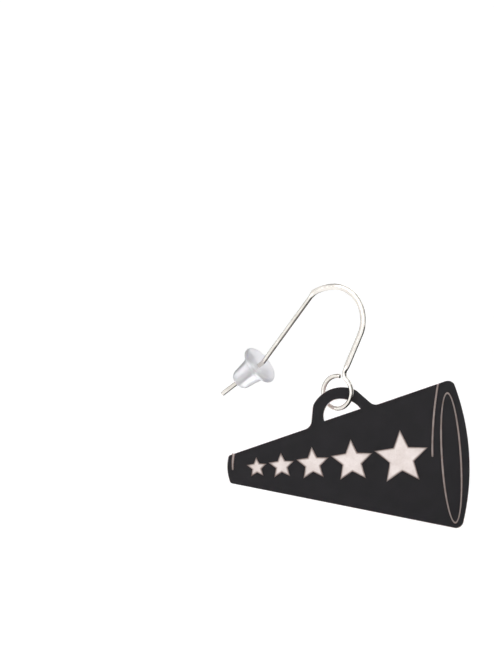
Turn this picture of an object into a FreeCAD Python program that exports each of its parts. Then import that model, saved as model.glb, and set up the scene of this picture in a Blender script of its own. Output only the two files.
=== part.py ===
"""Drop earring: a flat megaphone charm hung on a bent ear wire, with a soft ear nut on the wire's tail.

Millimetres, +Z up. The origin is on the wire's centre line at the crest of the bow, where the ear carries it.
The charm is a flat sheet in the XZ plane, facing -Y. The wire is bent in one upright plane turned about Z.
"""
import FreeCAD
import Part
import Sketcher
import math
import os

# alias, value in millimetres or degrees, meaning
DIMENSIONS = [
    ("charm_length", 38.0, "megaphone from lip to mouth, along its axis"),
    ("lip_half_width", 2.15, "half height of the cone at the lip"),
    ("cone_angle", 15.0, "slope of each cone edge"),
    ("mouth_bulge", 1.95, "how far the mouth edge bows outwards"),
    ("lip_bulge", 0.35, "how far the lip edge bows outwards"),
    ("mouth_corner", 1.2, "rounding of the two mouth corners"),
    ("lip_corner", 0.5, "rounding of the two lip corners"),
    ("core_thickness", 0.8, "light core sheet"),
    ("cap_thickness", 0.2, "dark cap layer"),
    ("handle_x", 15.6, "lower left corner of the handle hole, along the axis"),
    ("handle_lift", 0.2, "sheet left between the hole and the cone's edge"),
    ("hole_width", 6.0, "flat side of the D-shaped handle hole"),
    ("hole_height", 2.6, "height of the handle hole"),
    ("hole_crown", 2.6, "where the hole is highest, from its lower left corner"),
    ("handle_top", 4.35, "handle height above the hole's flat side"),
    ("handle_root", 1.4, "inside rounding where the handle leaves the cone"),
    ("handle_shoulder", 1.6, "outside rounding of the handle's two shoulders"),
    ("handle_flank_run", 1.65, "run of the handle's left flank along the cone's edge"),
    ("handle_slant_run", 2.2, "run of the handle's right flank along the cone's edge"),
    ("handle_sunk", 0.8, "how deep the handle's blank is rooted in the cone"),
    ("ring_height", 20.6, "mouth ring, outside, long way"),
    ("ring_width", 3.3, "mouth ring, outside, short way"),
    ("ring_x", 35.1, "mouth ring centre along the axis"),
    ("ring_drop", 0.5, "mouth ring centre below the axis"),
    ("line_width", 0.32, "engraved line"),
    ("lip_line_width", 0.5, "engraved lip line at the edge"),
    ("rim_line_top", 33.85, "rim line at the cone's edge, along the axis"),
    ("rim_line_middle", 32.7, "rim line halfway, along the axis"),
    ("rim_line_bottom", 32.15, "rim line's lower end, along the axis"),
    ("lip_line_top", 1.25, "lip line at the cone's edge, along the axis"),
    ("lip_line_middle", 0.92, "lip line halfway, along the axis"),
    ("lip_line_bottom", 0.8, "lip line's lower end, along the axis"),
    ("line_overrun", 0.4, "how far the engraved lines run past the cone's edge"),
    ("star_start", 3.0, "left tip of the first star, along the axis"),
    ("star_radius", 1.65, "outer radius of the first star"),
    ("star_growth", 1.28, "each star over the one before"),
    ("star_gap", 0.3, "between neighbouring stars"),
    ("star_waist", 0.46, "inner radius over outer radius of a star"),
    ("charm_tilt", 3.65, "axis of the megaphone above level as it hangs"),
    ("charm_left", -16.79, "lip end of the axis, X"),
    ("charm_down", 28.46, "lip end of the axis, below the origin"),
    ("charm_forward", 0.1, "middle of the sheet in front of the loop's lowest point"),
    ("wire_diameter", 0.72, "round wire"),
    ("flat_width", 1.0, "hammered bow, across the plane of the bend"),
    ("flat_thickness", 0.52, "hammered bow, through the plane of the bend"),
    ("blend_run", 0.8, "wire going from round to hammered"),
    ("wire_yaw", 37.0, "plane of the ear wire turned from the charm"),
    ("bow_radius", 5.2, "front of the bow"),
    ("bow_turn", 116.0, "bend of the front of the bow"),
    ("stem_run", 5.46, "hammered straight stem below the bow"),
    ("neck_radius", 1.2, "reverse bend above the loop"),
    ("neck_turn", 74.7, "bend of the neck"),
    ("loop_radius", 2.55, "loop centre line"),
    ("loop_turn", 331.0, "bend of the loop"),
    ("crest_radius", 8.4, "back of the bow"),
    ("crest_turn", 25.0, "bend of the back of the bow"),
    ("shoulder_radius", 0.9, "kink where the bow meets the leg"),
    ("shoulder_turn", 24.5, "bend of that kink"),
    ("leg_run", 13.3, "straight leg behind the ear"),
    ("heel_radius", 1.5, "kink where the leg meets the tail"),
    ("heel_turn", 16.0, "bend of that kink"),
    ("tail_run", 8.9, "straight tail that carries the ear nut"),
    ("tip_round", 0.25, "rounding of the tail's tip"),
    ("cut_round", 0.08, "edge taken off the loop's cut end"),
    ("nut_start", 0.15, "ear nut's flange, from the start of the tail"),
    ("nut_length", 5.3, "ear nut along the tail"),
    ("nut_flange", 6.4, "ear nut's flange diameter"),
    ("nut_flange_edge", 0.7, "thickness of the flange"),
    ("nut_body", 4.2, "ear nut's body diameter behind the flange"),
    ("nut_nose", 3.4, "ear nut's diameter where its rounded end starts"),
    ("nut_bore_gap", 0.03, "ear nut's bore over the wire, on the radius"),
    ("nut_cup", 0.5, "depth of the dish in the flange's face"),
    ("nut_fillet", 0.3, "inside of the curve from the flange to the body"),
    ("nut_flare", 0.85, "body that flares out towards the flange"),
    ("nut_land", 0.2, "flat ring round the bore at the nose"),
]
STARS = 5
STAR_TIPS = 5

# Shape factors, each a share of the size it goes with.
LEFT_SHOULDER = (-0.15, 0.66)
RIGHT_SHOULDER = (1.04, 0.68)
CROWN = 0.37
HOLE_RIGHT_RISE = 0.79
HOLE_LEFT_SIDE = (0.27, 0.66)
LIP_LINE_TAPER = 0.6
NUT_DISH_DEPTH = 0.55
NUT_RIM_FRONT = 0.86
NUT_RIM_BACK = 0.88
NUT_NOSE_RISE = 0.8
NUT_NOSE_SIDE = (0.8, 0.25)


def make_sheet(doc):
    sheet = doc.addObject("Spreadsheet::Sheet", "Dimensions")
    for row, (alias, value, meaning) in enumerate(DIMENSIONS, 1):
        sheet.set(f"A{row}", meaning)
        sheet.set(f"B{row}", str(value))
        sheet.setAlias(f"B{row}", alias)
    doc.recompute()
    return sheet


def point(across, up):
    return FreeCAD.Vector(across, up, 0)


def new_body(doc, label, placement):
    body = doc.addObject("PartDesign::Body", label)
    body.Label = label
    body.Placement = placement
    return body


def new_sketch(body, name, lift=None):
    """A sketch on the body's XZ plane, normal along -Y; lift is the expression of its distance."""
    sketch = body.newObject("Sketcher::SketchObject", name)
    plane = [item for item in body.Origin.OriginFeatures if item.Role == "XZ_Plane"][0]
    sketch.AttachmentSupport = [(plane, "")]
    sketch.MapMode = "FlatFace"
    if lift:
        sketch.setExpression("AttachmentOffset.Base.z", lift)
    return sketch


def pad(body, sketch, name, length):
    feature = body.newObject("PartDesign::Pad", name)
    feature.Profile = sketch
    feature.setExpression("Length", length)
    return feature


def pocket_through(body, sketch, name, depth):
    """A pocket back into the sheet, against the sketch's normal."""
    feature = body.newObject("PartDesign::Pocket", name)
    feature.Profile = sketch
    feature.setExpression("Length", depth)
    return feature


def add_line(sketch, start, end):
    return sketch.addGeometry(Part.LineSegment(start, end), False)


def add_arc(sketch, start, middle, end):
    return sketch.addGeometry(Part.Arc(start, middle, end), False)


def join(sketch, count):
    """Close a chain of lines and arcs, each one starting or ending where the one before it ends."""
    ends = [(one, other) for one in (1, 2) for other in (1, 2)]
    for index in range(count):
        following = (index + 1) % count
        near = min(ends, key=lambda pair: sketch.getPoint(index, pair[0]).distanceToPoint(
            sketch.getPoint(following, pair[1])))
        sketch.addConstraint(Sketcher.Constraint("Coincident", index, near[0], following, near[1]))


def pin_point(sketch, curve, end, across, up):
    """Hold one point of a sketch at a place given by two expressions."""
    for kind, text in (("DistanceX", across), ("DistanceY", up)):
        place = sketch.getPoint(curve, end)
        value = place.x if kind == "DistanceX" else place.y
        index = sketch.addConstraint(Sketcher.Constraint(kind, -1, 1, curve, end, value))
        sketch.setExpression(f"Constraints[{index}]", text)


def cone_half_width(sheet, along):
    return sheet.lip_half_width + along * math.tan(math.radians(sheet.cone_angle))


def draw_cone(sketch, sheet):
    """The megaphone's outline: two straight edges, a bowed lip and a bowed mouth."""
    mouth_x = sheet.charm_length - sheet.mouth_bulge
    lip, mouth = sheet.lip_half_width, cone_half_width(sheet, mouth_x)
    add_line(sketch, point(sheet.lip_bulge, -lip), point(mouth_x, -mouth))
    add_arc(sketch, point(mouth_x, -mouth), point(sheet.charm_length, 0), point(mouth_x, mouth))
    add_line(sketch, point(mouth_x, mouth), point(sheet.lip_bulge, lip))
    add_arc(sketch, point(sheet.lip_bulge, lip), point(0, 0), point(sheet.lip_bulge, -lip))
    join(sketch, 4)
    far = "Dimensions.charm_length - Dimensions.mouth_bulge"
    mouth_rule = f"Dimensions.lip_half_width + ({far}) * tan(Dimensions.cone_angle * 1deg)"
    pin_point(sketch, 0, 1, "Dimensions.lip_bulge", "-Dimensions.lip_half_width")
    pin_point(sketch, 0, 2, far, f"-({mouth_rule})")
    pin_point(sketch, 2, 1, far, mouth_rule)
    pin_point(sketch, 2, 2, "Dimensions.lip_bulge", "Dimensions.lip_half_width")


def handle_place(sheet):
    """A function from handle coordinates (along and above the hole's flat side) to the megaphone's own."""
    slope = math.radians(sheet.cone_angle)
    start = point(sheet.handle_x, cone_half_width(sheet, sheet.handle_x) + sheet.handle_lift)

    def place(along, above):
        across = along * math.cos(slope) - above * math.sin(slope)
        up = along * math.sin(slope) + above * math.cos(slope)
        return start + point(across, up)

    return place


def handle_spots(sheet):
    """The handle's four corners in handle coordinates: left root, two shoulders, right root."""
    left, right = LEFT_SHOULDER[0] * sheet.hole_width, RIGHT_SHOULDER[0] * sheet.hole_width
    return [(left - sheet.handle_flank_run, -sheet.handle_sunk),
            (left, LEFT_SHOULDER[1] * sheet.handle_top),
            (right, RIGHT_SHOULDER[1] * sheet.handle_top),
            (right + sheet.handle_slant_run, -sheet.handle_sunk)]


def draw_handle(sketch, sheet):
    """The handle's outside: steep left flank, long crown and slanting right flank, rooted in the cone."""
    place = handle_place(sheet)
    corners = [place(*spot) for spot in handle_spots(sheet)]
    crown = place(CROWN * sheet.hole_width, sheet.handle_top)
    add_line(sketch, corners[0], corners[1])
    add_arc(sketch, corners[1], crown, corners[2])
    add_line(sketch, corners[2], corners[3])
    add_line(sketch, corners[3], corners[0])
    join(sketch, 4)


def draw_handle_hole(sketch, sheet):
    """A tilted D: its flat side runs along the cone's edge."""
    place = handle_place(sheet)
    width, height, crown = sheet.hole_width, sheet.hole_height, sheet.hole_crown
    right_side = place(0.5 * (width + crown), HOLE_RIGHT_RISE * height)
    left_side = place(HOLE_LEFT_SIDE[0] * crown, HOLE_LEFT_SIDE[1] * height)
    add_line(sketch, place(0, 0), place(width, 0))
    add_arc(sketch, place(width, 0), right_side, place(crown, height))
    add_arc(sketch, place(crown, height), left_side, place(0, 0))
    join(sketch, 3)


def flank_foot(root, shoulder, lift):
    """Where a flank of the handle meets the cone's edge, a lift below the hole's flat side."""
    share = (-lift - root[1]) / (shoulder[1] - root[1])
    return root[0] + share * (shoulder[0] - root[0]), -lift


def upright_edges(feature, corners, reach):
    """Names of the feature's edges that run through the sheet within reach of any of the corners."""
    names = []
    for index, edge in enumerate(feature.Shape.Edges, 1):
        first, last = edge.firstVertex().Point, edge.lastVertex().Point
        upright = abs(first.x - last.x) < 1e-6 and abs(first.z - last.z) < 1e-6
        flat = FreeCAD.Vector(first.x, first.z, 0)
        if upright and any((flat - corner).Length < reach for corner in corners):
            names.append(f"Edge{index}")
    return names


def round_corners(doc, body, base, name, corners, reach, radius):
    doc.recompute()
    feature = body.newObject("PartDesign::Fillet", name)
    feature.Base = (base, upright_edges(base, corners, reach))
    feature.setExpression("Radius", radius)
    body.Tip = feature
    return feature


def megaphone_sheet(doc, sheet, label, placement, thickness):
    """One layer of the charm: cone, handle and handle hole, with the corners rounded."""
    body = new_body(doc, label, placement)
    cone = new_sketch(body, f"{label}_cone")
    draw_cone(cone, sheet)
    pad(body, cone, f"{label}_cone_pad", thickness)
    handle = new_sketch(body, f"{label}_handle")
    draw_handle(handle, sheet)
    blank = pad(body, handle, f"{label}_handle_pad", thickness)
    mouth_x = sheet.charm_length - sheet.mouth_bulge
    mouth = cone_half_width(sheet, mouth_x)
    lip = sheet.lip_half_width
    place = handle_place(sheet)
    left_root, left_shoulder, right_shoulder, right_root = handle_spots(sheet)
    flanks = [flank_foot(left_root, left_shoulder, sheet.handle_lift),
              flank_foot(right_root, right_shoulder, sheet.handle_lift)]
    shoulders = [left_shoulder, right_shoulder]
    blank = round_corners(doc, body, blank, f"{label}_roots", [place(*spot) for spot in flanks], 0.6,
                          "Dimensions.handle_root")
    blank = round_corners(doc, body, blank, f"{label}_shoulders", [place(*spot) for spot in shoulders], 0.3,
                          "Dimensions.handle_shoulder")
    blank = round_corners(doc, body, blank, f"{label}_mouth_corners",
                          [point(mouth_x, mouth), point(mouth_x, -mouth)], 0.1, "Dimensions.mouth_corner")
    round_corners(doc, body, blank, f"{label}_lip_corners",
                  [point(sheet.lip_bulge, lip), point(sheet.lip_bulge, -lip)], 0.1,
                  "Dimensions.lip_corner")
    hole = new_sketch(body, f"{label}_hole", thickness)
    draw_handle_hole(hole, sheet)
    pocket_through(body, hole, f"{label}_hole_cut", thickness)
    return body


def star_centres(sheet):
    """Centre and outer radius of each star; they grow along the axis at the same rate."""
    left, radius, stars = sheet.star_start, sheet.star_radius, []
    half_span = math.sin(math.radians(72))
    for _ in range(STARS):
        stars.append((left + radius * half_span, radius))
        left += 2 * radius * half_span + sheet.star_gap
        radius *= sheet.star_growth
    return stars


def draw_star(sketch, centre, radius, waist):
    corners = []
    for step in range(2 * STAR_TIPS):
        angle = math.pi / 2 + step * math.pi / STAR_TIPS
        reach = radius if step % 2 == 0 else radius * waist
        corners.append(point(centre + reach * math.cos(angle), reach * math.sin(angle)))
    for start, end in zip(corners, corners[1:] + corners[:1]):
        add_line(sketch, start, end)


def draw_band(sketch, top, middle, bottom, top_width, bottom_width):
    """A curved band open to the cone's edge at its top, with a round lower end."""
    half_top, half_bottom = point(top_width / 2, 0), point(bottom_width / 2, 0)
    half_middle = (half_top + half_bottom) * 0.5
    add_arc(sketch, top - half_top, middle - half_middle, bottom - half_bottom)
    add_arc(sketch, bottom - half_bottom, bottom - point(0, bottom_width / 2), bottom + half_bottom)
    add_arc(sketch, bottom + half_bottom, middle + half_middle, top + half_top)
    add_line(sketch, top + half_top, top - half_top)


def engrave(doc, body, name, draw):
    sketch = new_sketch(body, name, "Dimensions.cap_thickness")
    draw(sketch)
    before = body.Shape.Volume
    cut = pocket_through(body, sketch, f"{name}_cut", "Dimensions.cap_thickness")
    doc.recompute()
    if cut.Shape.Volume >= before:
        raise RuntimeError(f"{name} cuts nothing")


def ellipse(centre, half_height, half_width):
    return Part.Ellipse(centre + point(0, half_height), centre + point(half_width, 0), centre)


def make_charm_face(doc, sheet, placement):
    """The dark cap layer, opened down to the core for the stars, the two lines and the mouth ring."""
    body = megaphone_sheet(doc, sheet, "charm_face", placement, "Dimensions.cap_thickness")
    doc.recompute()

    def stars(sketch):
        for centre, radius in star_centres(sheet):
            draw_star(sketch, centre, radius, sheet.star_waist)

    def rim_line(sketch):
        edge = cone_half_width(sheet, sheet.rim_line_top) + sheet.line_overrun
        draw_band(sketch, point(sheet.rim_line_top, edge), point(sheet.rim_line_middle, edge / 2),
                  point(sheet.rim_line_bottom, 0), sheet.line_width, sheet.line_width)

    def lip_line(sketch):
        edge = cone_half_width(sheet, sheet.lip_line_top) + sheet.line_overrun
        draw_band(sketch, point(sheet.lip_line_top, edge), point(sheet.lip_line_middle, edge / 2),
                  point(sheet.lip_line_bottom, 0), sheet.lip_line_width,
                  LIP_LINE_TAPER * sheet.lip_line_width)

    def mouth_opening(sketch):
        centre = point(sheet.ring_x, -sheet.ring_drop)
        sketch.addGeometry(ellipse(centre, sheet.ring_height / 2, sheet.ring_width / 2), False)

    engrave(doc, body, "stars", stars)
    engrave(doc, body, "rim_line", rim_line)
    engrave(doc, body, "lip_line", lip_line)
    engrave(doc, body, "mouth_opening", mouth_opening)
    return body


def make_mouth_face(doc, sheet, placement):
    """The island of cap layer left inside the mouth ring."""
    body = new_body(doc, "mouth_face", placement)
    sketch = new_sketch(body, "mouth_island")
    centre = point(sheet.ring_x, -sheet.ring_drop)
    half_height = sheet.ring_height / 2 - sheet.line_width
    half_width = sheet.ring_width / 2 - sheet.line_width
    sketch.addGeometry(ellipse(centre, half_height, half_width), False)
    pad(body, sketch, "mouth_island_pad", "Dimensions.cap_thickness")
    return body


def loop_bottom(sheet):
    """The wire's centre at the lowest point of the loop, and the way the wire runs there."""
    path = wire_path(sheet)
    centre = path["loop"][-1]["centre"]
    yaw = math.radians(sheet.wire_yaw)
    low = centre - FreeCAD.Vector(0, 0, sheet.loop_radius)
    along = FreeCAD.Vector(math.cos(yaw), -math.sin(yaw), 0)
    return along * low.x + FreeCAD.Vector(0, 0, low.z), along


def charm_placement(sheet, layer_offset):
    """Place of a layer's back, just behind the loop's lowest point, with the megaphone's axis tilted."""
    middle = loop_bottom(sheet)[0].y - sheet.charm_forward
    back = middle + (sheet.core_thickness + sheet.cap_thickness) / 2 - layer_offset
    turn = FreeCAD.Rotation(FreeCAD.Vector(0, 1, 0), -sheet.charm_tilt)
    return FreeCAD.Placement(FreeCAD.Vector(sheet.charm_left, back, -sheet.charm_down), turn)


def walk(place, heading, steps):
    """Follow straight runs and bends in the XZ plane; a bend is (radius, turn), a run (length,)."""
    pieces = []
    for step in steps:
        ahead = FreeCAD.Vector(math.cos(heading), 0, math.sin(heading))
        if len(step) == 1:
            end = place + ahead * step[0]
            edge, centre = Part.makeLine(place, end), None
        else:
            radius, turn = step[0], math.radians(step[1])
            side = math.copysign(1, turn)
            centre = place + FreeCAD.Vector(-ahead.z, 0, ahead.x) * side * radius
            spoke = place - centre

            def swing(angle):
                cosine, sine = math.cos(angle), math.sin(angle)
                return centre + FreeCAD.Vector(spoke.x * cosine - spoke.z * sine, 0,
                                               spoke.x * sine + spoke.z * cosine)

            end = swing(turn)
            edge = Part.Arc(place, swing(turn / 2), end).toShape()
            heading += turn
        pieces.append({"edge": edge, "start": place, "end": end, "centre": centre, "heading": heading,
                       "way": ahead})
        place = end
    return pieces


def wire_path(sheet):
    """The wire's centre line in its own plane, from the crest of the bow both ways."""
    front = walk(FreeCAD.Vector(), 0.0, [
        (sheet.bow_radius, -sheet.bow_turn),
        (sheet.stem_run,),
        (sheet.blend_run,),
        (sheet.neck_radius, sheet.neck_turn),
        (sheet.loop_radius, -sheet.loop_turn),
    ])
    back = walk(FreeCAD.Vector(), math.pi, [
        (sheet.crest_radius, sheet.crest_turn),
        (sheet.shoulder_radius, sheet.shoulder_turn),
        (sheet.blend_run,),
        (sheet.leg_run,),
        (sheet.heel_radius, -sheet.heel_turn),
        (sheet.tail_run,),
    ])
    return {
        "hammered": [back[1], back[0], front[0], front[1]],
        "front_blend": front[2],
        "loop": front[3:],
        "back_blend": back[2],
        "tail": back[3:],
    }


def across_wire(place, heading):
    """Placement whose Z runs along the wire and whose X lies in the plane of the bend."""
    along = FreeCAD.Vector(math.cos(heading), 0, math.sin(heading))
    side = FreeCAD.Vector(-along.z, 0, along.x)
    return FreeCAD.Placement(place, FreeCAD.Rotation(side, along.cross(side), along, "ZXY"))


def round_section(doc, name, placement):
    section = doc.addObject("Part::Circle", name)
    section.setExpression("Radius", "Dimensions.wire_diameter / 2")
    section.Placement = placement
    return section


def hammered_section(doc, name, placement):
    section = doc.addObject("Part::Ellipse", name)
    section.setExpression("MajorRadius", "Dimensions.flat_width / 2")
    section.setExpression("MinorRadius", "Dimensions.flat_thickness / 2")
    section.Placement = placement
    return section


def spine(doc, name, pieces):
    path = doc.addObject("Part::Feature", name)
    path.Shape = Part.Wire([piece["edge"] for piece in pieces])
    return path


def sweep(doc, name, section, pieces):
    path = spine(doc, f"{name}_path", pieces)
    stretch = doc.addObject("Part::Sweep", name)
    stretch.Sections = [section]
    stretch.Spine = (path, [f"Edge{index}" for index in range(1, len(pieces) + 1)])
    stretch.Solid = True
    stretch.Frenet = False
    return stretch


def blend(doc, name, sections):
    stretch = doc.addObject("Part::Loft", name)
    stretch.Sections = sections
    stretch.Solid = True
    stretch.Ruled = True
    return stretch


def start_of(piece):
    return across_wire(piece["start"], math.atan2(piece["way"].z, piece["way"].x))


def end_of(piece):
    return across_wire(piece["end"], piece["heading"])


def edges_at(shape, places, reach):
    """Numbers of the round edges whose centres lie within reach of the places."""
    numbers = []
    for index, edge in enumerate(shape.Edges, 1):
        if edge.isClosed() and any((edge.CenterOfMass - place).Length < reach for place in places):
            numbers.append(index)
    return numbers


def make_ear_wire(doc, sheet):
    """Round wire bent to a loop, hammered stem and bow, round leg and tail."""
    path = wire_path(sheet)
    leg_top, neck_top = start_of(path["tail"][0]), start_of(path["loop"][0])
    bow_back, bow_front = start_of(path["back_blend"]), start_of(path["front_blend"])
    leg_round = round_section(doc, "leg_section", leg_top)
    neck_round = round_section(doc, "neck_section", neck_top)
    back_flat = hammered_section(doc, "bow_back_section", bow_back)
    front_flat = hammered_section(doc, "bow_front_section", bow_front)
    stretches = [
        sweep(doc, "leg_and_tail", leg_round, path["tail"]),
        blend(doc, "back_blend", [back_flat, leg_round]),
        sweep(doc, "bow", back_flat, path["hammered"]),
        blend(doc, "front_blend", [front_flat, neck_round]),
        sweep(doc, "neck_and_loop", neck_round, path["loop"]),
    ]
    joined = doc.addObject("Part::MultiFuse", "bent_wire")
    joined.Shapes = stretches
    doc.recompute()
    tip, cut = path["tail"][-1]["end"], path["loop"][-1]["end"]
    smooth = doc.addObject("Part::Fillet", "ear_wire")
    smooth.Base = joined
    tip_edges = [(number, sheet.tip_round, sheet.tip_round) for number in edges_at(joined.Shape, [tip], 0.01)]
    cut_edges = [(number, sheet.cut_round, sheet.cut_round) for number in edges_at(joined.Shape, [cut], 0.01)]
    smooth.Edges = tip_edges + cut_edges
    smooth.Placement = FreeCAD.Placement(FreeCAD.Vector(), FreeCAD.Rotation(FreeCAD.Vector(0, 0, 1),
                                                                          -sheet.wire_yaw))
    return smooth


def draw_nut_profile(sketch, sheet):
    """Half the ear nut's section: bore side left, flange below, rounded nose on top."""
    bore = sheet.wire_diameter / 2 + sheet.nut_bore_gap
    rim, edge = sheet.nut_flange / 2, sheet.nut_flange_edge
    waist, nose = sheet.nut_body / 2, sheet.nut_nose / 2
    tip, fillet, land = sheet.nut_length, sheet.nut_fillet, bore + sheet.nut_land
    shoulder = edge + sheet.nut_flare
    nose_start = tip - NUT_NOSE_RISE * nose
    dish = point(rim / 2, NUT_DISH_DEPTH * sheet.nut_cup)
    rim_front, rim_back = point(NUT_RIM_FRONT * rim, 0), point(NUT_RIM_BACK * rim, edge)
    add_arc(sketch, point(bore, sheet.nut_cup), dish, rim_front)
    add_arc(sketch, rim_front, point(rim, edge / 2), rim_back)
    add_arc(sketch, rim_back, point(waist + fillet, edge + fillet), point(waist, shoulder))
    add_line(sketch, point(waist, shoulder), point(nose, nose_start))
    add_arc(sketch, point(nose, nose_start), point(NUT_NOSE_SIDE[0] * nose, tip - NUT_NOSE_SIDE[1] * nose),
            point(land, tip))
    add_line(sketch, point(land, tip), point(bore, tip))
    add_line(sketch, point(bore, tip), point(bore, sheet.nut_cup))
    join(sketch, 7)


def make_ear_nut(doc, sheet):
    """Soft bullet-shaped stopper with a dished flange, bored for the wire and turned about the tail."""
    yaw = FreeCAD.Rotation(FreeCAD.Vector(0, 0, 1), -sheet.wire_yaw)
    tail = wire_path(sheet)["tail"][-1]
    base = yaw.multVec(tail["start"] + tail["way"] * sheet.nut_start)
    turn = FreeCAD.Rotation(FreeCAD.Vector(0, 0, 1), yaw.multVec(tail["way"]))
    body = new_body(doc, "ear_nut", FreeCAD.Placement(base, turn))
    profile = new_sketch(body, "ear_nut_profile")
    draw_nut_profile(profile, sheet)
    turned = body.newObject("PartDesign::Revolution", "ear_nut_turned")
    turned.Profile = profile
    turned.ReferenceAxis = (profile, ["V_Axis"])
    turned.Angle = 360
    return body


def check_and_export(doc, nodes):
    for item in doc.Objects:
        bad = [state for state in item.State if state in ("Invalid", "Error")]
        if bad:
            raise RuntimeError(f"{item.Label} is {bad}")
    os.makedirs("parts", exist_ok=True)
    for node in nodes:
        shape = node.Shape
        if shape.isNull() or not shape.isValid() or len(shape.Solids) != 1:
            raise RuntimeError(f"{node.Label} is not one valid solid")
        shape.exportStep(f"parts/{node.Label}.step")
        print(node.Label, round(shape.Volume, 3), "mm3")


def main():
    doc = FreeCAD.newDocument("earring")
    sheet = make_sheet(doc)
    core = megaphone_sheet(doc, sheet, "charm_core", charm_placement(sheet, 0), "Dimensions.core_thickness")
    cap_place = charm_placement(sheet, sheet.core_thickness)
    nodes = [core, make_charm_face(doc, sheet, cap_place), make_mouth_face(doc, sheet, cap_place),
             make_ear_wire(doc, sheet), make_ear_nut(doc, sheet)]
    doc.recompute()
    check_and_export(doc, nodes)
    hinge, along = loop_bottom(sheet)
    print("hinge", [round(value, 4) for value in hinge], "along", [round(value, 5) for value in along])


main()
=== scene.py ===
"""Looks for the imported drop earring: engraved charm, bright bent ear wire and clear silicone ear nut."""

import math

import bmesh
import bpy
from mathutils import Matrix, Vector, noise


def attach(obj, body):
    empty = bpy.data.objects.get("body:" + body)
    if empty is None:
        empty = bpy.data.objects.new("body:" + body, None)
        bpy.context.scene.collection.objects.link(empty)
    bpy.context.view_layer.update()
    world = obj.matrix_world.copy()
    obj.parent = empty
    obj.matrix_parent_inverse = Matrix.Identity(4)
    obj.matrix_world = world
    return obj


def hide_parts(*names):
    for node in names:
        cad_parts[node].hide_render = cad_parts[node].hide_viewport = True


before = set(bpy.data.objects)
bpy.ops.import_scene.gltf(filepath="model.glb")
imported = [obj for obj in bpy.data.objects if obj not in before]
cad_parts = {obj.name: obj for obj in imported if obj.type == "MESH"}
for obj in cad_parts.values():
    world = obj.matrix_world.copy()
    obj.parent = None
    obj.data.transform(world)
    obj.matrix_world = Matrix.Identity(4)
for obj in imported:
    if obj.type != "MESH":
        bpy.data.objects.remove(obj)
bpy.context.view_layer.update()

MM = 0.001
UP = Vector((0, 0, 1))

# The design's own sizes, in millimetres and degrees, as in the CAD model.
CHARM_TILT = 3.65
CHARM_LIP = Vector((-16.79, 0, -28.46))
CONE_ANGLE = 15.0
LIP_HALF_WIDTH = 2.15
STAR_START, STAR_RADIUS, STAR_GROWTH, STAR_GAP, STAR_WAIST = 3.0, 1.65, 1.28, 0.3, 0.46
STARS = 5
RING_CENTRE, RING_HEIGHT, RING_WIDTH = (35.1, -0.5), 20.6, 3.3
LINE_WIDTH = 0.32
RIM_LINE, LIP_LINE = (33.85, 32.7, 32.15), (1.25, 0.92, 0.8)
LINE_OVERRUN = 0.4
LIP_LINE_TAPER = 0.6
LIP_LINE_WIDTH = 0.5
WIRE_DIAMETER = 0.72
FLAT_WIDTH, FLAT_THICKNESS = 1.0, 0.52
WIRE_YAW = 37.0
BLEND_RUN = 0.8
CUT_ROUND, TIP_ROUND = 0.08, 0.25
FRONT_BENDS = [("flat", 5.2, -116.0), ("flat", 5.46), ("blend", BLEND_RUN), ("round", 1.2, 74.7),
               ("round", 2.55, -331.0)]
BACK_BENDS = [("flat", 8.4, 25.0), ("flat", 0.9, 24.5), ("blend", BLEND_RUN), ("round", 13.3),
              ("round", 1.5, -16.0), ("round", 8.9)]
NUT_START, NUT_LENGTH, NUT_FLANGE, NUT_EDGE = 0.15, 5.3, 6.4, 0.7
NUT_BODY, NUT_NOSE, NUT_CUP, NUT_BORE_GAP = 4.2, 3.4, 0.5, 0.03
NUT_FILLET, NUT_FLARE, NUT_LAND, NUT_SIDES = 0.3, 0.16, 0.2, 96
NUT_DISH_DEPTH, NUT_RIM_FRONT, NUT_RIM_BACK = 0.55, 0.86, 0.88
NUT_NOSE_RISE, NUT_NOSE_SIDE = 0.8, (0.8, 0.25)

# How far the cap's edge stands back from the core's, in metres, and where the charm's edges run.
SET_BACK = 0.00012
EDGE_TOLERANCE = 0.05
LIP_EDGE = 0.36
MOUTH_EDGE, MOUTH_BOW = 37.9, 0.02

# How far the edges of the charm's layers are eased, in metres.
CORE_EASE, CAP_EASE = 0.00005, 0.000035

# The view: how far the camera stands back and how much it sees, in metres.
VIEW_DISTANCE = 0.8
VIEW_HEIGHT = 0.1028
VIEW_YAW = 5.0
VIEW_CENTRE = (-0.01363, -0.00668)


def on_charm(along, across, depth):
    """A point of the charm in metres: along and across its axis in millimetres, at a depth Y in metres."""
    tilt = math.radians(CHARM_TILT)
    x = CHARM_LIP.x + along * math.cos(tilt) - across * math.sin(tilt)
    z = CHARM_LIP.z + along * math.sin(tilt) + across * math.cos(tilt)
    return Vector((x * MM, depth, z * MM))


def cone_half_width(along):
    return LIP_HALF_WIDTH + along * math.tan(math.radians(CONE_ANGLE))


# ---------------------------------------------------------------- materials

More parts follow.
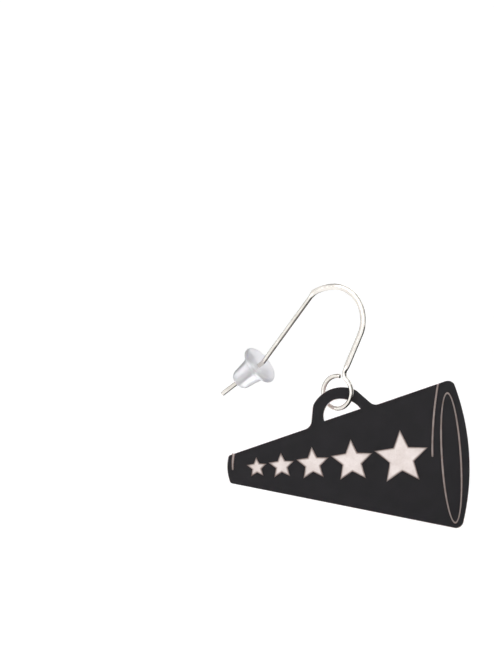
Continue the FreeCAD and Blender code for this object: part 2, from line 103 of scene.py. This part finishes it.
class Nodes:
    """A small helper that adds and links shader nodes."""

    def __init__(self, name):
        self.material = bpy.data.materials.new(name)
        self.material.use_nodes = True
        self.tree = self.material.node_tree
        self.shader = self.tree.nodes["Principled BSDF"]

    def add(self, kind, **settings):
        node = self.tree.nodes.new(kind)
        for key, value in settings.items():
            setattr(node, key, value)
        return node

    def link(self, source, target):
        self.tree.links.new(source, target)

    def place(self):
        return self.add("ShaderNodeTexCoord").outputs["Object"]

    def noise(self, scale, detail=3.0, roughness=0.5, vector=None):
        node = self.add("ShaderNodeTexNoise")
        node.inputs["Scale"].default_value = scale
        node.inputs["Detail"].default_value = detail
        node.inputs["Roughness"].default_value = roughness
        self.link(vector or self.place(), node.inputs["Vector"])
        return node.outputs["Fac"]

    def stretched(self, scale):
        mapping = self.add("ShaderNodeMapping")
        mapping.inputs["Scale"].default_value = scale
        self.link(self.place(), mapping.inputs["Vector"])
        return mapping.outputs["Vector"]

    def spread(self, value, low, high, out_low, out_high):
        node = self.add("ShaderNodeMapRange")
        node.inputs["From Min"].default_value = low
        node.inputs["From Max"].default_value = high
        node.inputs["To Min"].default_value = out_low
        node.inputs["To Max"].default_value = out_high
        self.link(value, node.inputs["Value"])
        return node.outputs["Result"]

    def ramp(self, value, stops):
        node = self.add("ShaderNodeValToRGB")
        elements = node.color_ramp.elements
        while len(elements) < len(stops):
            elements.new(0.5)
        for element, (position, colour) in zip(elements, stops):
            element.position = position
            element.color = (*colour, 1.0)
        self.link(value, node.inputs["Fac"])
        return node.outputs["Color"]

    def mix(self, amount, first, second):
        node = self.add("ShaderNodeMix", data_type="RGBA")
        self.link(amount, node.inputs[0])
        for value, socket in ((first, node.inputs[6]), (second, node.inputs[7])):
            if isinstance(value, tuple):
                socket.default_value = (*value, 1.0)
            else:
                self.link(value, socket)
        return node.outputs[2]

    def sum(self, first, second, operation="ADD"):
        node = self.add("ShaderNodeMath", operation=operation)
        for value, socket in ((first, node.inputs[0]), (second, node.inputs[1])):
            if isinstance(value, (int, float)):
                socket.default_value = value
            else:
                self.link(value, socket)
        return node.outputs[0]

    def bump(self, height, strength, distance):
        node = self.add("ShaderNodeBump")
        node.inputs["Strength"].default_value = strength
        node.inputs["Distance"].default_value = distance
        self.link(height, node.inputs["Height"])
        self.link(node.outputs["Normal"], self.shader.inputs["Normal"])

    def set(self, **values):
        for key, value in values.items():
            self.shader.inputs[key.replace("_", " ")].default_value = value


def cap_material():
    """Satin black engraving laminate: faint grain, hairline rubbing marks and a slight purple cast."""
    n = Nodes("black_cap")
    cloud = n.noise(350.0, 3.0)
    fine = n.noise(9000.0, 2.0)
    hair = n.noise(900.0, 4.0, 0.7, n.stretched((1.0, 1.0, 14.0)))
    n.link(n.ramp(cloud, [(0.3, (0.0065, 0.0055, 0.0072)), (0.7, (0.0105, 0.009, 0.0113))]),
           n.shader.inputs["Base Color"])
    rough = n.sum(n.spread(cloud, 0.3, 0.7, 0.34, 0.46), n.spread(hair, 0.45, 0.75, -0.02, 0.08))
    n.link(rough, n.shader.inputs["Roughness"])
    n.bump(n.sum(fine, n.sum(hair, 0.35, "MULTIPLY")), 0.25, 0.00001)
    n.set(Specular_IOR_Level=0.28, IOR=1.49)
    return n.material


def core_material():
    """Light acrylic core: warm pale grey, cut by laser, with fine stripes down the cut edge."""
    n = Nodes("pale_core")
    cloud = n.noise(300.0, 4.0)
    speck = n.noise(6000.0, 2.0)
    stripes = n.noise(4500.0, 2.0, 0.6, n.stretched((1.0, 0.02, 1.0)))
    hair = n.noise(1100.0, 4.0, 0.7, n.stretched((0.12, 1.0, 1.6)))
    base = n.ramp(cloud, [(0.25, (0.665, 0.59, 0.58)), (0.75, (0.71, 0.64, 0.63))])
    specks = n.spread(speck, 0.55, 0.8, 0.0, 0.35)
    n.link(n.mix(specks, base, (0.5, 0.41, 0.38)), n.shader.inputs["Base Color"])
    n.link(n.sum(n.spread(speck, 0.3, 0.7, 0.36, 0.5), n.spread(hair, 0.5, 0.75, 0.0, 0.14)),
           n.shader.inputs["Roughness"])
    n.bump(n.sum(stripes, n.sum(n.sum(speck, 0.4, "MULTIPLY"), n.sum(hair, 0.5, "MULTIPLY"))), 0.35, 0.00002)
    n.set(Specular_IOR_Level=0.4, Subsurface_Weight=0.12, Subsurface_Scale=0.0006)
    return n.material


def engraved_material():
    """The core where the laser has bared it: pale and grainy, darker brown along the edges of the cut,
    partly laser scorch and partly painted shade from the recess walls.
    """
    n = Nodes("engraved_core")
    edge = n.add("ShaderNodeAttribute", attribute_name="edge").outputs["Fac"]
    grain = n.noise(5200.0, 5.0, 0.75)
    cloud = n.noise(700.0, 4.0, 0.6)
    passes = n.add("ShaderNodeTexWave", wave_type="BANDS", bands_direction="Z")
    passes.inputs["Scale"].default_value = 1400.0
    passes.inputs["Distortion"].default_value = 1.2
    passes.inputs["Detail"].default_value = 2.0
    n.link(n.place(), passes.inputs["Vector"])
    pale = n.ramp(cloud, [(0.2, (0.60, 0.52, 0.49)), (0.8, (0.78, 0.71, 0.69))])
    speckled = n.mix(n.spread(grain, 0.52, 0.8, 0.0, 0.5), pale, (0.42, 0.34, 0.31))
    # Darker brown towards the recess walls: partly laser scorch, partly painted shade where the walls would
    # shade the floor.
    browned_and_shaded = n.sum(edge, n.spread(cloud, 0.2, 0.8, -0.22, 0.22))
    n.link(n.mix(n.spread(browned_and_shaded, 0.3, 0.95, 0.0, 0.92), speckled, (0.17, 0.105, 0.085)),
           n.shader.inputs["Base Color"])
    n.link(n.spread(grain, 0.3, 0.7, 0.6, 0.8), n.shader.inputs["Roughness"])
    n.bump(n.sum(grain, n.sum(passes.outputs["Fac"], 0.3, "MULTIPLY")), 0.5, 0.00003)
    n.set(Specular_IOR_Level=0.25)
    return n.material


def wire_material():
    """Bright silver plate, warm, with soft draw marks and small rubbed patches."""
    n = Nodes("silver_plate")
    cloud = n.noise(420.0, 3.0)
    draw = n.noise(2600.0, 3.0, 0.6)
    n.link(n.ramp(cloud, [(0.3, (0.63, 0.595, 0.55)), (0.7, (0.79, 0.76, 0.72))]),
           n.shader.inputs["Base Color"])
    n.link(n.sum(n.spread(cloud, 0.3, 0.7, 0.09, 0.18), n.spread(draw, 0.4, 0.7, 0.0, 0.06)),
           n.shader.inputs["Roughness"])
    n.bump(draw, 0.12, 0.00002)
    n.set(Metallic=1.0)
    return n.material


def silicone_material():
    """Clear soft silicone, faintly grey and lavender, cloudy inside, with a fine moulded skin."""
    n = Nodes("clear_silicone")
    cloud = n.noise(500.0, 3.0)
    skin = n.noise(2600.0, 2.0)
    n.link(n.ramp(cloud, [(0.3, (0.79, 0.79, 0.82)), (0.7, (0.87, 0.87, 0.895))]),
           n.shader.inputs["Base Color"])
    n.link(n.spread(skin, 0.3, 0.7, 0.31, 0.38), n.shader.inputs["Roughness"])
    n.bump(n.sum(skin, cloud), 0.06, 0.00002)
    n.set(Transmission_Weight=0.76, IOR=1.41, Specular_IOR_Level=0.5, Subsurface_Weight=0.2,
          Subsurface_Scale=0.001)
    return n.material


# ---------------------------------------------------------------- pieces

def add_object(name, mesh, material, body):
    piece = bpy.data.objects.new(name, mesh)
    bpy.context.scene.collection.objects.link(piece)
    mesh.materials.clear()
    mesh.materials.append(material)
    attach(piece, body)
    return piece


def refined_copy(node, name, material, body, rounding):
    """The CAD node's own shape with its corners merged and its sharp edges eased."""
    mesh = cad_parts[node].data.copy()
    mesh.name = name
    work = bmesh.new()
    work.from_mesh(mesh)
    bmesh.ops.remove_doubles(work, verts=work.verts, dist=1e-7)
    bmesh.ops.dissolve_limit(work, angle_limit=math.radians(0.5), verts=work.verts, edges=work.edges)
    bmesh.ops.recalc_face_normals(work, faces=work.faces)
    work.to_mesh(mesh)
    work.free()
    if "custom_normal" in mesh.attributes:
        mesh.attributes.remove(mesh.attributes["custom_normal"])
    piece = add_object(name, mesh, material, body)
    for polygon in mesh.polygons:
        polygon.use_smooth = True
    mesh.set_sharp_from_angle(angle=math.radians(40))
    bevel = piece.modifiers.new("eased_edges", "BEVEL")
    bevel.width = rounding
    bevel.segments = 3
    bevel.limit_method = "ANGLE"
    bevel.angle_limit = math.radians(40)
    bevel.harden_normals = True
    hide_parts(node)
    return piece


def set_back_edge(mesh):
    """Draws the cap's outer edge in along the lower and mouth sides, where the core shows as a pale line."""
    tilt = math.radians(CHARM_TILT)
    along, across = Vector((math.cos(tilt), 0, math.sin(tilt))), Vector((-math.sin(tilt), 0, math.cos(tilt)))
    shown_side = (along * 0.6 - across * 0.8).normalized()
    outward = {}
    for polygon in mesh.polygons:
        if abs(polygon.normal.y) < 0.3:
            for vertex in polygon.vertices:
                outward[vertex] = outward.get(vertex, Vector()) + polygon.normal
    for index, normal in outward.items():
        place = mesh.vertices[index].co
        offset = place / MM - CHARM_LIP
        reach, height = offset.dot(along), offset.dot(across)
        on_cone = abs(height) > cone_half_width(reach) - EDGE_TOLERANCE
        on_lip = reach < LIP_EDGE
        on_mouth = reach > MOUTH_EDGE - MOUTH_BOW * height * height
        if on_cone or on_lip or on_mouth:
            normal = Vector((normal.x, 0, normal.z)).normalized()
            place -= normal * SET_BACK * max(0.0, normal.dot(shown_side))


def mesh_from_rings(name, rings, around=False, cap_start=False, cap_end=False):
    """Quads between neighbouring rings of equally many points; around joins the last ring to the first."""
    work = bmesh.new()
    rows = [[work.verts.new(place) for place in ring] for ring in rings]
    count = len(rings[0])
    neighbours = list(zip(rows, rows[1:]))
    if around:
        neighbours.append((rows[-1], rows[0]))
    for first, second in neighbours:
        for index in range(count):
            following = (index + 1) % count
            work.faces.new((first[index], first[following], second[following], second[index]))
    if cap_start:
        work.faces.new(list(reversed(rows[0])))
    if cap_end:
        work.faces.new(rows[-1])
    bmesh.ops.recalc_face_normals(work, faces=work.faces)
    mesh = bpy.data.meshes.new(name)
    work.to_mesh(mesh)
    work.free()
    for polygon in mesh.polygons:
        polygon.use_smooth = True
    return mesh


def arc(start, middle, end, steps):
    """Points along the arc through three places in a plane, ends included."""
    (ax, ay), (bx, by), (cx, cy) = start, middle, end
    scale = 2 * (ax * (by - cy) + bx * (cy - ay) + cx * (ay - by))
    a, b, c = ax * ax + ay * ay, bx * bx + by * by, cx * cx + cy * cy
    x = (a * (by - cy) + b * (cy - ay) + c * (ay - by)) / scale
    y = (a * (cx - bx) + b * (ax - cx) + c * (bx - ax)) / scale
    radius = math.hypot(ax - x, ay - y)
    first = math.atan2(ay - y, ax - x)
    turn = math.atan2(cy - y, cx - x) - first
    halfway = (math.atan2(by - y, bx - x) - first) % math.tau
    if turn % math.tau < halfway:
        turn = turn % math.tau - math.tau
    else:
        turn %= math.tau
    angles = [first + turn * step / steps for step in range(steps + 1)]
    return [(x + radius * math.cos(angle), y + radius * math.sin(angle)) for angle in angles]


# ---------------------------------------------------------------- engraved floors

CORE_FRONT = -0.000721
FLOOR_LIFT = 0.00002
FLOOR_SINK = 0.00006
RELIEF = 0.000014
# How far in from a recess wall the engraved floor darkens, in millimetres: laser scorch plus painted shade.
SCORCH_AND_SHADE_REACH = 0.42
COARSE_GRAIN, FINE_GRAIN, FINE_SHARE = 5.5, 13.0, 0.6
GRAIN_FADE = 0.08
SEAT = 0.99
STAR_SIDE_STEPS, STAR_RING_GAP = 14, 0.07
STAR_HEART, STAR_SEAT = 0.01, 0.995


def floor_point(along, across, edge_distance):
    """A point of an engraved floor with its grain, and how dark its edge colour is from 0 to 1: laser scorch
    plus painted shade near the recess wall.
    """
    rest = on_charm(along, across, CORE_FRONT - FLOOR_LIFT)
    grain = noise.noise(Vector((along * COARSE_GRAIN, across * COARSE_GRAIN, 0.0)))
    grain += FINE_SHARE * noise.noise(Vector((along * FINE_GRAIN, across * FINE_GRAIN, 4.0)))
    fade = min(1.0, edge_distance / GRAIN_FADE)
    rest.y -= RELIEF * grain * fade
    return rest, max(0.0, 1.0 - edge_distance / SCORCH_AND_SHADE_REACH)


def floor_piece(name, rings, around, material):
    """A thin closed plate from rings of (point, edge darkening) pairs; the darkening is laser scorch plus
    painted shade.
    """
    mesh = mesh_from_rings(name, [[place for place, _ in ring] for ring in rings],
                           around=around, cap_start=not around, cap_end=not around)
    attribute = mesh.attributes.new("edge", "FLOAT", "POINT")
    values = [scorch_and_shade for ring in rings for _, scorch_and_shade in ring]
    for index, value in enumerate(values):
        attribute.data[index].value = value
    mesh.set_sharp_from_angle(angle=math.radians(50))
    return add_object(name, mesh, material, "charm")


def star_floor(name, centre, radius, material):
    """A five-pointed floor, ringed from its centre out to the star's outline and down its side."""
    corners = []
    for step in range(10):
        angle = math.pi / 2 + step * math.pi / 5
        reach = radius if step % 2 == 0 else radius * STAR_WAIST
        corners.append(Vector((reach * math.cos(angle), reach * math.sin(angle))))
    outline = []
    for first, second in zip(corners, corners[1:] + corners[:1]):
        outline += [first.lerp(second, step / STAR_SIDE_STEPS) for step in range(STAR_SIDE_STEPS)]
    side = corners[1] - corners[0]
    apothem = abs(corners[0].x * side.y - corners[0].y * side.x) / side.length
    count = max(12, round(apothem / STAR_RING_GAP))
    rings = []
    for step in range(count + 1):
        share = STAR_HEART + (STAR_SEAT - STAR_HEART) * step / count
        distance = (1 - share) * apothem
        rings.append([floor_point(centre + spot.x * share, spot.y * share, distance) for spot in outline])
    # The star's side wall takes full edge darkening: laser scorch plus painted shade.
    rings.append([(on_charm(centre + spot.x * STAR_SEAT, spot.y * STAR_SEAT, CORE_FRONT + FLOOR_SINK), 1.0)
                  for spot in outline])
    return floor_piece(name, rings, False, material)


def band_ring(middle, normal, half_width):
    """One cross-section of an engraved line: its grainy top from side to side, and its flat underside."""
    ring = []
    for step in range(9):
        offset = half_width * (step / 4 - 1) * SEAT
        ring.append(floor_point(middle.x + normal.x * offset, middle.y + normal.y * offset,
                                half_width - abs(offset)))
    # The line's side walls take full edge darkening: laser scorch plus painted shade.
    for offset in (half_width * SEAT, -half_width * SEAT):
        ring.append((on_charm(middle.x + normal.x * offset, middle.y + normal.y * offset,
                              CORE_FRONT + FLOOR_SINK), 1.0))
    return ring


def line_floor(name, line, top_width, bottom_width, material):
    """The floor of a curved line that starts at the charm's edge and ends round."""
    top, middle, bottom = line
    edge = cone_half_width(top) + LINE_OVERRUN
    path = [Vector(spot) for spot in arc((bottom, 0.0), (middle, edge / 2), (top, edge), 160)]
    inside = [spot for spot in path if spot.y < cone_half_width(spot.x) - 0.03]
    rings = []
    for index, spot in enumerate(inside):
        ahead = inside[min(index + 1, len(inside) - 1)] - inside[max(index - 1, 0)]
        normal = Vector((-ahead.y, ahead.x)).normalized()
        share = index / (len(path) - 1)
        half = (bottom_width + (top_width - bottom_width) * share) / 2
        rings.append(band_ring(spot, normal, half))
    tip = []
    for step in range(5, 0, -1):
        angle = math.radians(step * 17)
        ahead = (inside[1] - inside[0]).normalized()
        spot = inside[0] - ahead * (bottom_width / 2) * math.sin(angle)
        tip.append(band_ring(spot, Vector((-ahead.y, ahead.x)), (bottom_width / 2) * math.cos(angle)))
    return floor_piece(name, tip + rings, False, material)


def mouth_ring_floor(name, material):
    rings = []
    half_height, half_width = RING_HEIGHT / 2 - LINE_WIDTH / 2, RING_WIDTH / 2 - LINE_WIDTH / 2
    for step in range(240):
        angle = math.tau * step / 240
        spot = Vector((RING_CENTRE[0] + half_width * math.cos(angle),
                       RING_CENTRE[1] + half_height * math.sin(angle)))
        normal = Vector((math.cos(angle) / half_width, math.sin(angle) / half_height)).normalized()
        rings.append(band_ring(spot, normal, LINE_WIDTH / 2))
    return floor_piece(name, rings, True, material)


def build_charm():
    cap, core, engraved = cap_material(), core_material(), engraved_material()
    refined_copy("charm_core", "charm_core_body", core, "charm", CORE_EASE)
    face = refined_copy("charm_face", "charm_face_layer", cap, "charm", CAP_EASE)
    set_back_edge(face.data)
    refined_copy("mouth_face", "mouth_face_layer", cap, "charm", CAP_EASE)
    left, radius = STAR_START, STAR_RADIUS
    half_span = math.sin(math.radians(72))
    for index in range(STARS):
        star_floor(f"star_floor_{index + 1}", left + radius * half_span, radius, engraved)
        left += 2 * radius * half_span + STAR_GAP
        radius *= STAR_GROWTH
    line_floor("rim_line_floor", RIM_LINE, LINE_WIDTH, LINE_WIDTH, engraved)
    line_floor("lip_line_floor", LIP_LINE, LIP_LINE_WIDTH, LIP_LINE_TAPER * LIP_LINE_WIDTH, engraved)
    mouth_ring_floor("mouth_ring_floor", engraved)


# ---------------------------------------------------------------- ear wire

STEP_LENGTH = 0.14
HAMMER_SCALE, HAMMER_DENT, HAMMER_BUMP = 1.35, 0.05, 0.03


def half_sizes(kind, share):
    """Half width in the bend's plane and half thickness across it, along a stretch of the wire."""
    round_half, flat, thin = WIRE_DIAMETER / 2, FLAT_WIDTH / 2, FLAT_THICKNESS / 2
    if kind == "round":
        return round_half, round_half
    if kind == "blend":
        share = share * share * (3 - 2 * share)
        return flat + (round_half - flat) * share, thin + (round_half - thin) * share
    return flat, thin


def follow(heading, bends):
    """Samples (place, heading, half width, half thickness, kind) along straight runs and bends."""
    place, samples = Vector((0.0, 0.0)), []
    for kind, *sizes in bends:
        if len(sizes) == 1:
            length, turn = sizes[0], 0.0
        else:
            turn = math.radians(sizes[1])
            length = abs(turn) * sizes[0]
        steps = max(4, math.ceil(length / STEP_LENGTH))
        for step in range(steps + 1):
            share = step / steps
            if turn:
                side = math.copysign(1.0, turn)
                centre = place + Vector((-math.sin(heading), math.cos(heading))) * side * sizes[0]
                now = heading + turn * share
                spot = centre - Vector((-math.sin(now), math.cos(now))) * side * sizes[0]
            else:
                now = heading
                spot = place + Vector((math.cos(heading), math.sin(heading))) * length * share
            if step or not samples:
                samples.append((spot, now, *half_sizes(kind, share), kind))
        place, heading = samples[-1][0], samples[-1][1]
    return samples


def wire_axes():
    yaw = math.radians(WIRE_YAW)
    return Vector((math.cos(yaw), -math.sin(yaw), 0)), Vector((math.sin(yaw), math.cos(yaw), 0))


def wire_ring(spot, heading, half_width, half_thick, kind, sides=32):
    """One cross-section of the wire; the flattened stretches carry shallow hammer marks."""
    in_plane, through = wire_axes()
    side = in_plane * -math.sin(heading) + UP * math.cos(heading)
    middle = in_plane * spot.x + UP * spot.y
    ring = []
    for index in range(sides):
        angle = math.tau * index / sides
        reach = side * half_width * math.cos(angle) + through * half_thick * math.sin(angle)
        if kind != "round":
            mark = noise.noise((middle + through * half_thick * math.sin(angle)) * HAMMER_SCALE)
            reach *= 1 - HAMMER_DENT * max(0.0, mark + 0.1) - HAMMER_BUMP * max(0.0, -mark)
        ring.append((middle + reach) * MM)
    return ring


def rounded_end(sample, radius):
    """Cross-sections that round off the wire's end, outermost first."""
    spot, heading, half_width, half_thick, kind = sample
    ahead = Vector((math.cos(heading), math.sin(heading)))
    rings = []
    for step in range(5, 0, -1):
        angle = math.radians(step * 18)
        shrink = radius * (1 - math.cos(angle))
        place = spot - ahead * radius + ahead * radius * math.sin(angle)
        rings.append(wire_ring(place, heading, half_width - shrink, half_thick - shrink, kind))
    return rings


def build_wire():
    front, back = follow(0.0, FRONT_BENDS), follow(math.pi, BACK_BENDS)
    cut, tip = rounded_end(front[-1], CUT_ROUND), rounded_end(back[-1], TIP_ROUND)
    cut = [[ring[(len(ring) // 2 - index) % len(ring)] for index in range(len(ring))] for ring in cut]
    loop = [(spot, heading + math.pi, *rest) for spot, heading, *rest in reversed(front[:-1])]
    tail = [sample for sample in back[1:] if (sample[0] - back[-1][0]).length > TIP_ROUND]
    rings = cut + [wire_ring(*sample) for sample in loop + tail] + list(reversed(tip))
    mesh = mesh_from_rings("ear_wire_bent", rings, cap_start=True, cap_end=True)
    piece = add_object("ear_wire_bent", mesh, wire_material(), "ear_wire")
    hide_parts("ear_wire")
    return back[-1][0], back[-1][1]


# ---------------------------------------------------------------- ear nut

def nut_profile():
    """The nut's half section as (radius, height) pairs, from the bore's foot round the outside and back."""
    bore = WIRE_DIAMETER / 2 + NUT_BORE_GAP
    rim, waist, nose, tip = NUT_FLANGE / 2, NUT_BODY / 2, NUT_NOSE / 2, NUT_LENGTH
    shoulder = NUT_EDGE + NUT_FLARE * tip
    nose_start = tip - NUT_NOSE_RISE * nose
    front, back = (NUT_RIM_FRONT * rim, 0.0), (NUT_RIM_BACK * rim, NUT_EDGE)
    section = arc((bore, NUT_CUP), (0.5 * rim, NUT_CUP * NUT_DISH_DEPTH), front, 14)
    section += arc(front, (rim, NUT_EDGE / 2), back, 12)[1:]
    section += arc(back, (waist + NUT_FILLET, NUT_EDGE + NUT_FILLET), (waist, shoulder), 10)[1:]
    for step in range(1, 15):
        share = step / 14
        section.append((waist + (nose - waist) * share, shoulder + (nose_start - shoulder) * share))
    side = (NUT_NOSE_SIDE[0] * nose, tip - NUT_NOSE_SIDE[1] * nose)
    section += arc((nose, nose_start), side, (bore + NUT_LAND, tip), 14)[1:]
    for step in range(1, 4):
        section.append((bore + NUT_LAND - NUT_LAND * step / 3, tip))
    for step in range(1, 16):
        section.append((bore, tip + (NUT_CUP - tip) * step / 16))
    return section


def build_nut(tail_start, tail_heading):
    in_plane, through = wire_axes()
    along = in_plane * math.cos(tail_heading) + UP * math.sin(tail_heading)
    side = along.cross(through)
    base = in_plane * tail_start.x + UP * tail_start.y + along * NUT_START
    section, rings = nut_profile(), []
    for step in range(NUT_SIDES):
        angle = math.tau * step / NUT_SIDES
        out = through * math.cos(angle) + side * math.sin(angle)
        rings.append([(base + out * radius + along * height) * MM for radius, height in section])
    mesh = mesh_from_rings("ear_nut_moulding", rings, around=True)
    mesh.set_sharp_from_angle(angle=math.radians(60))
    piece = add_object("ear_nut_moulding", mesh, silicone_material(), "ear_nut")
    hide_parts("ear_nut")


# ---------------------------------------------------------------- stage, lights and camera

STAGE_FLOOR = -0.085
STAGE_RADIUS = 1.5
STAGE_CURVE = 0.7
STAGE_WALL = 1.6
STAGE_SIDES = 96
STAGE_GLOW = 0.29
CHARM_MIDDLE = (-0.012, 0.0, -0.018)


def build_stage():
    """A pale round sweep: a flat floor that curves up into a wall on every side."""
    profile = [(STAGE_RADIUS * step / 12, 0.0) for step in range(13)]
    for step in range(1, 17):
        angle = math.radians(90 * step / 16)
        profile.append((STAGE_RADIUS + STAGE_CURVE * math.sin(angle), STAGE_CURVE * (1 - math.cos(angle))))
    profile += [(STAGE_RADIUS + STAGE_CURVE, STAGE_CURVE + STAGE_WALL * step / 4) for step in range(1, 5)]
    profile[0] = (0.001, 0.0)
    rings = []
    for radius, height in profile:
        rings.append([Vector((radius * math.cos(math.tau * step / STAGE_SIDES),
                              radius * math.sin(math.tau * step / STAGE_SIDES),
                              STAGE_FLOOR + height)) for step in range(STAGE_SIDES)])
    mesh = mesh_from_rings("studio_sweep", rings, cap_start=True)
    mesh.flip_normals()
    n = Nodes("pale_paper")
    mottle = n.noise(6.0, 2.0)
    n.link(n.ramp(mottle, [(0.3, (0.93, 0.93, 0.93)), (0.7, (0.95, 0.95, 0.95))]),
           n.shader.inputs["Base Color"])
    n.set(Roughness=0.95, Specular_IOR_Level=0.0, Emission_Color=(1.0, 1.0, 1.0, 1.0),
          Emission_Strength=STAGE_GLOW)
    mesh.materials.append(n.material)
    sweep = bpy.data.objects.new("studio_sweep", mesh)
    bpy.context.scene.collection.objects.link(sweep)


def aim(item, target):
    item.rotation_mode = "QUATERNION"
    item.rotation_quaternion = (Vector(target) - item.location).to_track_quat("-Z", "Y")


def area_light(name, place, size, power, target=CHARM_MIDDLE):
    data = bpy.data.lights.new(name, "AREA")
    data.shape = "RECTANGLE"
    data.size, data.size_y = size
    data.energy = power
    lamp = bpy.data.objects.new(name, data)
    bpy.context.scene.collection.objects.link(lamp)
    lamp.location = place
    aim(lamp, target)


def dark_card(name, place, size, target=CHARM_MIDDLE):
    """A dark card outside the picture that only the shiny surfaces see."""
    work = bmesh.new()
    half_x, half_y = size[0] / 2, size[1] / 2
    corners = [work.verts.new((x, y, 0)) for x, y in
               ((-half_x, -half_y), (half_x, -half_y), (half_x, half_y), (-half_x, half_y))]
    work.faces.new(corners)
    mesh = bpy.data.meshes.new(name)
    work.to_mesh(mesh)
    work.free()
    n = Nodes(name)
    n.link(n.ramp(n.noise(4.0), [(0.3, (0.006, 0.006, 0.007)), (0.7, (0.012, 0.012, 0.012))]),
           n.shader.inputs["Base Color"])
    n.set(Roughness=0.9, Specular_IOR_Level=0.1)
    mesh.materials.append(n.material)
    card = bpy.data.objects.new(name, mesh)
    bpy.context.scene.collection.objects.link(card)
    card.location = place
    aim(card, target)
    card.visible_camera = False
    card.visible_shadow = False
    card.visible_diffuse = False


def build_lights():
    world = bpy.data.worlds.new("studio")
    world.use_nodes = True
    world.node_tree.nodes["Background"].inputs["Color"].default_value = (1.0, 1.0, 1.0, 1.0)
    world.node_tree.nodes["Background"].inputs["Strength"].default_value = 0.3
    bpy.context.scene.world = world
    area_light("top_softbox", (0.0, -0.2, 0.9), (0.9, 0.9), 3.2)
    area_light("left_softbox", (-0.9, -0.7, 0.35), (0.6, 0.8), 3.0)
    area_light("right_fill", (0.9, -0.6, 0.2), (0.5, 0.7), 0.5)
    area_light("back_fill", (0.2, 0.9, 0.5), (0.8, 0.8), 1.2)
    dark_card("left_card", (-0.24, 0.36, 0.0), (0.2, 0.6))
    dark_card("right_card", (0.38, -0.22, 0.0), (0.5, 0.6))
    dark_card("low_card", (0.16, -0.1, -0.08), (0.34, 0.5), (0.16, -0.1, 1.0))


def build_camera():
    yaw = math.radians(VIEW_YAW)
    right, ahead = Vector((math.cos(yaw), -math.sin(yaw), 0)), Vector((math.sin(yaw), math.cos(yaw), 0))
    target = right * VIEW_CENTRE[0] + UP * VIEW_CENTRE[1]
    data = bpy.data.cameras.new("photo_view")
    data.sensor_width = 36.0
    data.lens = 36.0 * VIEW_DISTANCE / VIEW_HEIGHT
    data.clip_start, data.clip_end = 0.05, 20.0
    camera = bpy.data.objects.new("photo_view", data)
    bpy.context.scene.collection.objects.link(camera)
    camera.location = target - ahead * VIEW_DISTANCE
    aim(camera, target)
    bpy.context.scene.camera = camera


# Plain tones, so that the pale sweep comes out white and the cap a true black.
bpy.context.scene.view_settings.view_transform = "Standard"
build_charm()
tail_end, tail_heading = build_wire()
tail_way = Vector((math.cos(tail_heading), math.sin(tail_heading)))
build_nut(tail_end - tail_way * BACK_BENDS[-1][1], tail_heading)
build_stage()
build_lights()
build_camera()
